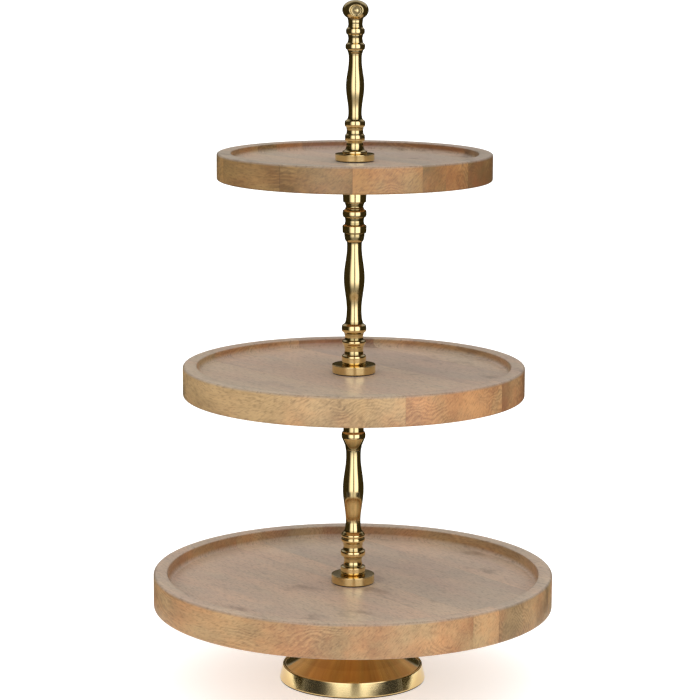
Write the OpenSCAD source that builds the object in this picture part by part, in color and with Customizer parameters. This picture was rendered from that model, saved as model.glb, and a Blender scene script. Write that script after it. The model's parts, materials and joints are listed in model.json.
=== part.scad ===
// Three-tier serving stand: three round wooden trays on turned brass stems, a flared brass
// foot and a ball finial. Every stem section screws down on a stud and clamps the tray under it.
// The stand is centred on the Z axis and stands on Z = 0.

/* [Trays] */
// Outside diameter of the bottom tray
tray_bottom_d = 381; // [300:1:480]
// Outside diameter of the middle tray
tray_middle_d = 323; // [240:1:400]
// Outside diameter of the top tray
tray_top_d = 257.6; // [180:0.2:320]
// Full height of the bottom tray
tray_bottom_h = 32.5; // [26:0.5:40]
// Full height of the middle tray
tray_middle_h = 28.3; // [20:0.1:36]
// Full height of the top tray
tray_top_h = 25; // [20:0.5:32]
// Depth of the bottom tray's well
well_bottom = 12; // [6:0.5:15]
// Depth of the middle and top trays' wells
well_upper = 8; // [6:0.5:11]
// Width of the rim, across its flat top
rim_w = 13.5; // [8:0.5:20]
// Rounding of the rim's edges
rim_round = 2; // [1:0.5:3.5]
// Rounding where the well's wall meets its floor
well_cove = 4; // [2:0.5:5]

/* [Stems] */
// Length of the lower and middle stems, each with its seat disc
stem_len = 175; // [150:1:210]
// Length of the upper stem, up to the ball
stem_upper_len = 125; // [105:1:150]
// Thickness of the seat disc that carries a tray
seat_t = 5; // [4:0.5:7]
// Diameter of the seat disc
seat_d = 40; // [30:1:50]

/* [Flanges] */
// Diameter of the bottom and middle flanges
flange_d = 41.2; // [34:0.2:52]
// Thickness of the bottom and middle flanges
flange_t = 7.7; // [5:0.1:10]
// Diameter of the top flange
flange_top_d = 36.8; // [32:0.2:46]
// Thickness of the top flange
flange_top_t = 6.2; // [4:0.1:8]
// Thickness of the soft pad under a flange
pad_t = 1; // [0.8:0.1:2]

/* [Foot] */
// Diameter of the foot where it meets the table
foot_d = 140; // [110:1:180]
// Height of the foot, up to the bottom tray
foot_h = 74; // [60:1:95]
// Height of the foot's outer band
band_h = 14; // [10:0.5:20]
// How much narrower the band is at its top, on each side
band_lean = 2.8; // [1:0.1:5]
// Wall of the foot
foot_wall = 3; // [2.5:0.1:4.5]
// Diameter of the foot's hub, under the tray
hub_d = 46; // [36:1:56]
// Thickness of the felt ring under the foot
felt_t = 1; // [0.8:0.1:2]

/* [Screws] */
// Diameter of the threaded studs
stud_d = 8; // [6:0.5:8]
// How far a stud reaches into the stem above it
stud_reach = 16; // [14:1:20]
// How deep a stud is set into the stem below it
stud_set = 15; // [10:1:18]
// Clearance around a stud in its threaded bore
thread_gap = 0.05; // [0.02:0.01:0.1]
// Clearance around a stud where it only passes through
pass_gap = 0.5; // [0.3:0.1:0.8]
// Diameter of the stud that holds the ball
ball_stud_d = 5; // [4:0.5:6]

/* [Finial] */
// Diameter of the ball, across
ball_d = 24.6; // [20:0.2:34]
// Height of the ball before its foot is cut flat
ball_h = 18.6; // [16:0.2:28]
// Diameter of the round recess on the front and back of the ball
dimple_d = 9; // [8:0.2:13]
// How far the ball is turned about the stem, in degrees
ball_turn = 4; // [-15:1:15]

/* [Hidden] */

$fn = 96;
ARC_STEPS = 6;
BRASS = "#b8963f";
STEEL = "#9a9c9e";
WOOD = "#b98f67";
FELT = "#2b2925";

stud_r = stud_d / 2;
bore_r = stud_r + thread_gap;
pass_r = stud_r + pass_gap;
ball_stud_r = ball_stud_d / 2;

// Levels, from the table up
hub_t = 8;
tray_bottom_z = foot_h;
floor_bottom_z = tray_bottom_z + tray_bottom_h - well_bottom;
stem_lower_z = floor_bottom_z + pad_t + flange_t;
tray_middle_z = stem_lower_z + stem_len;
floor_middle_z = tray_middle_z + tray_middle_h - well_upper;
stem_middle_z = floor_middle_z + pad_t + flange_t;
tray_top_z = stem_middle_z + stem_len;
floor_top_z = tray_top_z + tray_top_h - well_upper;
stem_upper_z = floor_top_z + pad_t + flange_top_t;
ball_foot_z = stem_upper_z + stem_upper_len;

// Fixings under the foot's hub
washer_d = 22;
washer_t = 1.6;
nut_flats = stud_d * 1.625;
nut_h = stud_d * 0.8;
stud_tail = 2.5;
bore_end_gap = 2;

// Quarter curves between two points [radius, height]. land ends parallel to the axis,
// launch starts parallel to it, ease does both and line is straight.
function quarter(a, b, kind, t) =
    kind == "land" ? [a[0] + (b[0] - a[0]) * sin(90 * t), a[1] + (b[1] - a[1]) * (1 - cos(90 * t))]
    : kind == "launch" ? [a[0] + (b[0] - a[0]) * (1 - cos(90 * t)), a[1] + (b[1] - a[1]) * sin(90 * t)]
    : kind == "ease" ? [a[0] + (b[0] - a[0]) * (1 - cos(180 * t)) / 2, a[1] + (b[1] - a[1]) * t]
    : [b[0], b[1]];

// Points of a turned outline through stations [radius, height, kind of curve that leads there]
function outline(s) = [
    for (i = [0 : len(s) - 1])
        let (
            kind = s[i][2],
            long = i > 0 && kind == "ease" && abs(s[i][1] - s[max(i - 1, 0)][1]) > 12,
            steps = i == 0 || kind == "line" ? 1 : long ? 2 * ARC_STEPS : ARC_STEPS
        )
        for (k = [1 : steps])
            i == 0 ? [s[0][0], s[0][1]] : quarter(s[i - 1], s[i], kind, k / steps)
];

// Moves stations up by a height
function raised(s, h) = [for (p = s) [p[0], p[1] + h, p[2]]];

// A turned solid on the axis, closed along the axis
module turned(s) {
    pts = outline(s);
    rotate_extrude() polygon(concat([[0, s[0][1]]], pts, [[0, s[len(s) - 1][1]]]));
}

// A flat disc with softened edges, from z up
module disc(d, t, z, edge) {
    r = d / 2;
    turned([
        [r - edge, z, "line"], [r, z + edge, "land"],
        [r, z + t - edge, "line"], [r - edge, z + t, "launch"]
    ]);
}

// A plain cylinder on the axis, for bores and flat rings
module bar(r, z, h) {
    translate([0, 0, z]) cylinder(r = r, h = h);
}

// A round tray with a raised rim, turned from one glued blank
module tray(d, h, well, z) {
    r = d / 2;
    in_r = r - rim_w;
    floor_z = z + h - well;
    top_z = z + h;
    under = 0.8 * rim_round;
    lip = 0.6 * rim_round;
    difference() {
        turned([
            [r - under, z, "line"], [r, z + under, "land"],
            [r, top_z - rim_round, "line"], [r - rim_round, top_z, "launch"],
            [in_r + lip, top_z, "line"], [in_r, top_z - lip, "land"],
            [in_r, floor_z + well_cove, "line"], [in_r - well_cove, floor_z, "launch"]
        ]);
        bar(pass_r, z - 1, h + 2);
    }
}

// Turned mouldings, as stations that start at height 0
function lower_base() = [
    [9.5, 0, "line"], [11.9, 2.4, "land"], [11.9, 6.8, "line"], [11.2, 7.7, "launch"],
    [9.2, 8.2, "line"], [8.5, 13.2, "ease"], [9.2, 17.4, "ease"],
    [10.9, 18, "line"], [11.9, 20.4, "land"], [11.4, 23, "launch"],
    [9.8, 23.6, "line"], [9.1, 26.8, "ease"], [9.6, 30.6, "ease"],
    [10.7, 32, "line"], [11.3, 33.8, "land"], [10.7, 35.6, "launch"], [10.4, 36.4, "line"],
    [11.3, 38, "land"], [10.9, 39.4, "launch"], [9.6, 41.3, "line"], [7.1, 51.5, "land"]
];

function lower_head() = [
    [7.05, 0, "ease"], [7.5, 7, "launch"], [8, 10.5, "line"], [10.8, 17.5, "line"],
    [11.4, 20, "land"], [10.6, 23.5, "launch"], [9.7, 26, "land"],
    [9.7, 31, "line"], [11, 34, "line"], [11, 38, "line"], [9.6, 41, "land"], [11.4, 55, "launch"]
];

function middle_base() = [
    [9.9, 0, "line"], [11.5, 2.4, "land"], [11.5, 6.6, "line"], [10.8, 8.6, "launch"],
    [9.2, 9.4, "line"], [8.8, 13, "ease"], [9.2, 16.6, "ease"],
    [9.8, 17.4, "line"], [11.3, 21.2, "ease"], [11, 22.6, "launch"],
    [9.1, 23.4, "line"], [8.6, 25.6, "land"], [9.2, 29.6, "ease"],
    [10.6, 31, "line"], [11.7, 33.8, "land"], [11, 37.4, "launch"], [9.6, 38.4, "line"], [7.05, 52, "land"]
];

function middle_head() = [
    [7, 0, "ease"], [7.4, 4.6, "launch"], [9.6, 12.4, "land"],
    [10.9, 13, "line"], [11.2, 14.6, "land"], [11.4, 18.6, "line"], [10.9, 20, "launch"],
    [9.2, 21, "line"], [8.75, 24.2, "ease"], [9.2, 27.2, "ease"],
    [10.5, 28, "line"], [11.3, 31.2, "land"], [10.6, 34.2, "launch"],
    [8.9, 35.2, "line"], [8.3, 37.6, "ease"], [9.2, 41.2, "ease"],
    [10.5, 41.8, "line"], [10.9, 43, "land"], [11.2, 50.4, "line"], [10.5, 51.4, "launch"],
    [9.3, 52, "line"], [9.3, 54.5, "line"], [11, 56, "line"], [11, 58, "line"]
];

function upper_base() = [
    [11.2, 0, "line"], [11.7, 1, "land"], [11.2, 2.4, "launch"], [8, 7.6, "land"], [7.7, 10, "ease"],
    [8, 11.2, "ease"], [8.9, 11.8, "line"], [9.4, 14.6, "land"], [8.9, 17.6, "launch"],
    [8, 18.6, "line"], [7.75, 21.6, "ease"], [8.1, 24.4, "ease"],
    [9, 25.2, "line"], [9.7, 28, "land"], [9, 30.6, "launch"], [7.9, 31.6, "line"], [6.25, 38, "land"]
];

function upper_head() = [
    [6.1, 0, "ease"], [6.4, 4.6, "launch"], [7.4, 8.6, "ease"],
    [8.4, 9.4, "line"], [9.2, 12, "land"], [8.4, 14.6, "launch"],
    [7.3, 15.6, "line"], [6.6, 19.4, "ease"], [7.2, 22.8, "ease"],
    [8.1, 23.6, "line"], [8.8, 26, "land"], [8.1, 28.6, "launch"],
    [7.1, 29.8, "line"], [6.6, 32.6, "ease"], [6.9, 34.8, "ease"], [7.7, 37.8, "launch"]
];

// A stem: base moulding, one long swell that takes up the length, and head moulding
function stem_stations(base, head, swell_r, length) =
    let (
        base_top = base[len(base) - 1],
        head_h = head[len(head) - 1][1],
        head_z = length - head_h,
        swell_z = (base_top[1] + head_z) / 2
    )
    concat(base, [[swell_r, swell_z, "ease"]], raised(head, head_z));

module stem(base, head, swell_r, length, z, lower_bore, upper_r, upper_set) {
    difference() {
        turned(raised(stem_stations(base, head, swell_r, length), z));
        bar(bore_r, z - 1, 1 + lower_bore);
        bar(upper_r, z + length - upper_set, upper_set + 1);
    }
}

// Disc on top of a stem, under a tray
module seat(z) {
    difference() {
        disc(seat_d, seat_t, z, 0.8);
        bar(bore_r, z - 1, seat_t + 2);
    }
}

// Disc on a tray's floor, under a stem
module flange(d, t, z) {
    difference() {
        disc(d, t, z, 0.6);
        bar(pass_r, z - 1, t + 2);
    }
}

module pad(d, z) {
    difference() {
        bar(d / 2 - 0.8, z, pad_t);
        bar(pass_r, z - 1, pad_t + 2);
    }
}

// Threaded stud with chamfered ends
module stud(r, z, h) {
    tip = 0.15 * r;
    turned([
        [r - tip, z, "line"], [r, z + tip, "line"],
        [r, z + h - tip, "line"], [r - tip, z + h, "line"]
    ]);
}

/* Foot: outer band, trumpet that rises to the hub, hollow underneath */
band_r = foot_d / 2;
lip_r = band_r - band_lean;
band_top_z = felt_t + band_h;
lip_round = 1.1;
dish_r = lip_r - 2 * lip_round;
neck_r = hub_d / 2 - 3.5;
hub_z = foot_h - hub_t;
TRUMPET_STEPS = 22;

// Radius of the trumpet at a share t of its height, from the lip to the neck
function trumpet_r(t) = neck_r + (dish_r - neck_r) * (exp(-2.1 * t) - exp(-2.1) * t);
function trumpet(inset, z0, z1) = [
    for (k = [0 : TRUMPET_STEPS])
        let (t = k / TRUMPET_STEPS) [trumpet_r(t) - inset, z0 + (z1 - z0) * t, "line"]
];

module foot() {
    drop = foot_wall * 1.1;
    neck_z = hub_z - 4;
    inner_r = band_r - foot_wall;
    color(BRASS) difference() {
        turned(concat(
            [[band_r - 0.8, felt_t, "line"], [band_r, felt_t + 0.8, "land"],
             [lip_r, band_top_z - lip_round, "line"], [lip_r - lip_round, band_top_z, "launch"],
             [dish_r, band_top_z - lip_round, "land"]],
            trumpet(0, band_top_z - lip_round, neck_z),
            [[hub_d / 2, hub_z + 2, "launch"], [hub_d / 2, foot_h - 0.8, "line"],
             [hub_d / 2 - 0.8, foot_h, "launch"]]
        ));
        rotate_extrude() polygon(concat(
            [[0, felt_t - 1], [inner_r, felt_t - 1], [inner_r - band_lean / 2, band_top_z - drop - 2]],
            [for (p = trumpet(foot_wall * 0.6, band_top_z - drop, neck_z - drop)) [p[0], p[1]]],
            [[neck_r - foot_wall, hub_z], [0, hub_z]]
        ));
        bar(bore_r, hub_z - 1, hub_t + 2);
    }
}

module foot_felt() {
    color(FELT) difference() {
        bar(band_r - 0.6, 0, felt_t);
        bar(band_r - foot_wall, -1, felt_t + 2);
    }
}

module foot_stud() {
    bottom = hub_z - washer_t - nut_h - stud_tail;
    color(STEEL) stud(stud_r, bottom, stem_lower_z + stud_reach - bottom);
}

module foot_washer() {
    color(STEEL) difference() {
        bar(washer_d / 2, hub_z - washer_t, washer_t);
        bar(pass_r, hub_z - washer_t - 1, washer_t + 2);
    }
}

module foot_nut() {
    z = hub_z - washer_t - nut_h;
    color(STEEL) difference() {
        translate([0, 0, z]) cylinder(r = nut_flats / 2 / cos(30), h = nut_h, $fn = 6);
        bar(bore_r, z - 1, nut_h + 2);
    }
}

module tray_bottom() color(WOOD) tray(tray_bottom_d, tray_bottom_h, well_bottom, tray_bottom_z);
module tray_middle() color(WOOD) tray(tray_middle_d, tray_middle_h, well_upper, tray_middle_z);
module tray_top() color(WOOD) tray(tray_top_d, tray_top_h, well_upper, tray_top_z);

module pad_bottom() color(FELT) pad(flange_d, floor_bottom_z);
module pad_middle() color(FELT) pad(flange_d, floor_middle_z);
module pad_top() color(FELT) pad(flange_top_d, floor_top_z);

module flange_bottom() color(BRASS) flange(flange_d, flange_t, floor_bottom_z + pad_t);
module flange_middle() color(BRASS) flange(flange_d, flange_t, floor_middle_z + pad_t);
module flange_top() color(BRASS) flange(flange_top_d, flange_top_t, floor_top_z + pad_t);

bore_deep = stud_reach + bore_end_gap;
turned_len = stem_len - seat_t;

module stem_lower() color(BRASS)
    stem(lower_base(), lower_head(), 10, turned_len, stem_lower_z, bore_deep, bore_r, stud_set);
module stem_middle() color(BRASS)
    stem(middle_base(), middle_head(), 9.85, turned_len, stem_middle_z, bore_deep, bore_r, stud_set);
module stem_upper() color(BRASS)
    stem(upper_base(), upper_head(), 8.6, stem_upper_len, stem_upper_z, bore_deep,
         ball_stud_r + thread_gap, ball_stud_set);

module seat_middle() color(BRASS) seat(tray_middle_z - seat_t);
module seat_top() color(BRASS) seat(tray_top_z - seat_t);

// Studs stand up from the stem below, through a seat, a tray and a flange
module stud_between(tray_z, stem_z) {
    bottom = tray_z - seat_t - stud_set;
    color(STEEL) stud(stud_r, bottom, stem_z + stud_reach - bottom);
}
module stud_middle() stud_between(tray_middle_z, stem_middle_z);
module stud_top() stud_between(tray_top_z, stem_upper_z);

/* Finial: flattened ball on a short stud, with a shallow round recess with sloping sides front and back */
ball_r = ball_d / 2;
ball_cut = 1.6;
ball_z = ball_foot_z + ball_h / 2 - ball_cut;
ball_stud_set = 9;
ball_stud_up = 8;
dimple_deep = 3;

module finial() {
    color(BRASS) difference() {
        rotate([0, 0, ball_turn]) difference() {
            rotate_extrude() polygon([
                for (k = [0 : 36])
                    let (a = -90 + 5 * k) [ball_r * cos(a), ball_z + ball_h / 2 * sin(a)]
            ]);
            for (side = [0, 180]) rotate([0, 0, side]) translate([0, -ball_r, ball_z]) rotate([-90, 0, 0])
                translate([0, 0, -1]) cylinder(
                    r1 = dimple_d / 2 + dimple_deep + 1, r2 = dimple_d / 2, h = dimple_deep + 1);
        }
        bar(ball_r, ball_z - ball_h, ball_h / 2 + ball_cut);
        bar(ball_stud_r + thread_gap, ball_foot_z - 1, ball_stud_up + 1);
    }
}

module finial_stud() {
    color(STEEL) stud(ball_stud_r, ball_foot_z - ball_stud_set, ball_stud_set + ball_stud_up);
}

foot();
foot_felt();
foot_stud();
foot_washer();
foot_nut();
tray_bottom();
pad_bottom();
flange_bottom();
stem_lower();
seat_middle();
stud_middle();
tray_middle();
pad_middle();
flange_middle();
stem_middle();
seat_top();
stud_top();
tray_top();
pad_top();
flange_top();
stem_upper();
finial_stud();
finial();
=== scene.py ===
import json
import math

import bmesh
import bpy
from mathutils import Matrix, Vector

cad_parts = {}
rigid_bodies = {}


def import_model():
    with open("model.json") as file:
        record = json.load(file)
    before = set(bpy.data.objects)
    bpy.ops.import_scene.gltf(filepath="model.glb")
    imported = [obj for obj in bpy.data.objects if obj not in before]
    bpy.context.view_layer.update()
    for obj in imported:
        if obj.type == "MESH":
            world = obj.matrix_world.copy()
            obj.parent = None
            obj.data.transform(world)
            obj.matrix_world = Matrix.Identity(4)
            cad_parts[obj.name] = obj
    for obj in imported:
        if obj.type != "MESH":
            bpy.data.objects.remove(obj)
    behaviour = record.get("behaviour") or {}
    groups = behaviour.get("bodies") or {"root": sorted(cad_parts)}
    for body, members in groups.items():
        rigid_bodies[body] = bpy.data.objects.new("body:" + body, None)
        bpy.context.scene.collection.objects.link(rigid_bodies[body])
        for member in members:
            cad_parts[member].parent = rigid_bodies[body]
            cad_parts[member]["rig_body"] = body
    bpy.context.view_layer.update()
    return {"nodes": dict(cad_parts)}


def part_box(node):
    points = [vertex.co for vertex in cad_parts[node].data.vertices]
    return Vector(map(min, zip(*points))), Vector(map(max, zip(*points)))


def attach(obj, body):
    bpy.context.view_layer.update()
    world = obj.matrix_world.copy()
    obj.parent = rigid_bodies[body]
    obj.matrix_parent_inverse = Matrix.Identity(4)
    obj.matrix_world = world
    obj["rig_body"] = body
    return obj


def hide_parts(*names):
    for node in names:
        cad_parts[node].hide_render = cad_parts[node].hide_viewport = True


bl_info = {
    "name": "Turned brass and wood serving stand",
    "version": (1, 0, 0),
    "blender": (4, 5, 0),
    "location": "View3D > Sidebar > Serving stand",
    "description": "Finishes a three-tier serving stand with turned, threaded and lacquered pieces",
    "category": "Object",
}

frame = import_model()
MM = 0.001


# Sizes that the frame already settles


def low(node):
    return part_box(node)[0]


def high(node):
    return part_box(node)[1]


def radius(node):
    lo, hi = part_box(node)
    return max(hi.x - lo.x, hi.y - lo.y) / 2


STUD_R = radius("stud_middle")
BORE_R = STUD_R + 0.05 * MM
PASS_R = STUD_R + 0.5 * MM
TABLE_R = 0.35  # the part of the floor near enough for the foot to mirror

# Strip of card near the floor: its radius and height, and its glow at angles to each side of the front
STRIP_R = 0.45
STRIP_H = 0.065
STRIP = ((0, 0.6), (12, 0.75), (20, 0.95), (30, 0.42), (40, 0.11), (50, 0.05), (68, 0.05), (80, 0.16))
GROOVE_W = 2.2 * MM  # the widest groove that is painted darker as shade, and
GROOVE_D = 1.2 * MM  # how deep one is when its painted shade is darkest
TINY = 1e-7  # a radius or length that counts as none
BOARD_REACH = 0.2  # half the width of the widest board that a tray is turned from

# Each tray's board: the direction of its grain in degrees, the depth of its colour, the heart of its
# log beside the board, and its staves, with the place across the grain where each starts in
# millimetres, its tone, its warmth and which part of the log it came from
BOARDS = {
    "bottom": {
        "grain": -52.0, "depth": (1.0, 1.0, 1.0), "heart": (0, 0.145, 0.03),
        "staves": (
            (-200, (0.53, 0.53, 0.11)), (-12, (0.61, 0.46, 0.53)), (20, (0.42, 0.43, 0.29)),
            (112, (0.51, 0.50, 0.83)),
        ),
    },
    "middle": {
        "grain": -50.0, "depth": (1.0, 0.99, 0.96), "heart": (0, -0.05, 0.06),
        "staves": (
            (-200, (0.57, 0.40, 0.37)), (-65, (0.53, 0.62, 0.71)), (46, (0.33, 0.64, 0.17)),
            (108, (0.48, 0.50, 0.61)),
        ),
    },
    "top": {
        "grain": -50.0, "depth": (0.74, 0.67, 0.50), "heart": (0, 0.02, 0.05),
        "staves": (
            (-200, (0.43, 0.40, 0.47)), (-122, (0.46, 0.40, 0.23)), (-85, (0.62, 0.52, 0.91)),
            (-28, (0.45, 0.48, 0.67)), (-2, (0.53, 0.68, 0.05)), (27, (0.30, 0.58, 0.59)),
        ),
    },
}  # fmt: skip

# Turned outlines of the stems' mouldings, in millimetres: radius, height and the curve that leads there.
# land ends parallel to the axis, launch starts parallel to it, ease does both and line is straight.
LOWER_BASE = [
    (9.5, 0, "line"), (11.9, 2.4, "land"), (11.9, 6.8, "line"), (11.2, 7.7, "launch"),
    (9.2, 8.2, "line"), (8.5, 13.2, "ease"), (9.2, 17.4, "ease"),
    (10.9, 18, "line"), (11.9, 20.4, "land"), (11.4, 23, "launch"),
    (9.8, 23.6, "line"), (9.1, 26.8, "ease"), (9.6, 30.6, "ease"),
    (10.7, 32, "line"), (11.3, 33.8, "land"), (10.7, 35.6, "launch"), (10.4, 36.4, "line"),
    (11.3, 38, "land"), (10.9, 39.4, "launch"), (9.6, 41.3, "line"), (7.1, 51.5, "land"),
]  # fmt: skip
LOWER_HEAD = [
    (7.05, 0, "ease"), (7.5, 7, "launch"), (8, 10.5, "line"), (10.8, 17.5, "line"),
    (11.4, 20, "land"), (10.6, 23.5, "launch"), (9.7, 26, "land"),
    (9.7, 31, "line"), (11, 34, "line"), (11, 38, "line"), (9.6, 41, "land"), (11.4, 55, "launch"),
]  # fmt: skip
MIDDLE_BASE = [
    (9.9, 0, "line"), (11.5, 2.4, "land"), (11.5, 6.6, "line"), (10.8, 8.6, "launch"),
    (9.2, 9.4, "line"), (8.8, 13, "ease"), (9.2, 16.6, "ease"),
    (9.8, 17.4, "line"), (11.3, 21.2, "ease"), (11, 22.6, "launch"),
    (9.1, 23.4, "line"), (8.6, 25.6, "land"), (9.2, 29.6, "ease"),
    (10.6, 31, "line"), (11.7, 33.8, "land"), (11, 37.4, "launch"), (9.6, 38.4, "line"), (7.05, 52, "land"),
]  # fmt: skip
MIDDLE_HEAD = [
    (7, 0, "ease"), (7.4, 4.6, "launch"), (9.6, 12.4, "land"),
    (10.9, 13, "line"), (11.2, 14.6, "land"), (11.4, 18.6, "line"), (10.9, 20, "launch"),
    (9.2, 21, "line"), (8.75, 24.2, "ease"), (9.2, 27.2, "ease"),
    (10.5, 28, "line"), (11.3, 31.2, "land"), (10.6, 34.2, "launch"),
    (8.9, 35.2, "line"), (8.3, 37.6, "ease"), (9.2, 41.2, "ease"),
    (10.5, 41.8, "line"), (10.9, 43, "land"), (11.2, 50.4, "line"), (10.5, 51.4, "launch"),
    (9.3, 52, "line"), (9.3, 54.5, "line"), (11, 56, "line"), (11, 58, "line"),
]  # fmt: skip
UPPER_BASE = [
    (11.2, 0, "line"), (11.7, 1, "land"), (11.2, 2.4, "launch"), (8, 7.6, "land"), (7.7, 10, "ease"),
    (8, 11.2, "ease"), (8.9, 11.8, "line"), (9.4, 14.6, "land"), (8.9, 17.6, "launch"),
    (8, 18.6, "line"), (7.75, 21.6, "ease"), (8.1, 24.4, "ease"),
    (9, 25.2, "line"), (9.7, 28, "land"), (9, 30.6, "launch"), (7.9, 31.6, "line"), (6.25, 38, "land"),
]  # fmt: skip
UPPER_HEAD = [
    (6.1, 0, "ease"), (6.4, 4.6, "launch"), (7.4, 8.6, "ease"),
    (8.4, 9.4, "line"), (9.2, 12, "land"), (8.4, 14.6, "launch"),
    (7.3, 15.6, "line"), (6.6, 19.4, "ease"), (7.2, 22.8, "ease"),
    (8.1, 23.6, "line"), (8.8, 26, "land"), (8.1, 28.6, "launch"),
    (7.1, 29.8, "line"), (6.6, 32.6, "ease"), (6.9, 34.8, "ease"), (7.7, 37.8, "launch"),
]  # fmt: skip


# Across the bed of the ball's recess: shares of its radius, and how high the bed is there in millimetres
BED = ((0.10, 0.13), (0.22, 0.07), (0.34, 0), (0.55, 0), (0.93, 0), (1, 0.02))


# Colours and nodes


def paint(code):
    """A hex colour, as it looks on a screen, in the linear values that shaders use."""
    parts = [int(code[i : i + 2], 16) / 255 for i in (1, 3, 5)]
    return [c / 12.92 if c <= 0.04045 else ((c + 0.055) / 1.055) ** 2.4 for c in parts]


def add(tree, kind, inputs=None, stops=(), **settings):
    """
    Adds a node. settings are the node's own choices, and stops are a ramp's places and colours.
    inputs gives its sockets, by name or number, a value or the node or output that feeds them.
    """
    node = tree.nodes.new(kind)
    for key, value in settings.items():
        setattr(node, key, value)
    for key, value in (inputs or {}).items():
        if isinstance(value, bpy.types.Node):
            value = next(socket for socket in value.outputs if socket.enabled)
        if isinstance(value, bpy.types.NodeSocket):
            tree.links.new(value, node.inputs[key])
        else:
            node.inputs[key].default_value = value
    while stops and len(node.color_ramp.elements) < len(stops):
        node.color_ramp.elements.new(1.0)
    for number, (place, colour) in enumerate(stops):
        node.color_ramp.elements[number].position = place
        node.color_ramp.elements[number].color = (*colour, 1)
    return node


def new_material(name):
    """A material with an empty node tree."""
    material = bpy.data.materials.new(name)
    material.use_nodes = True
    material.node_tree.nodes.clear()
    return material, material.node_tree
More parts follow.
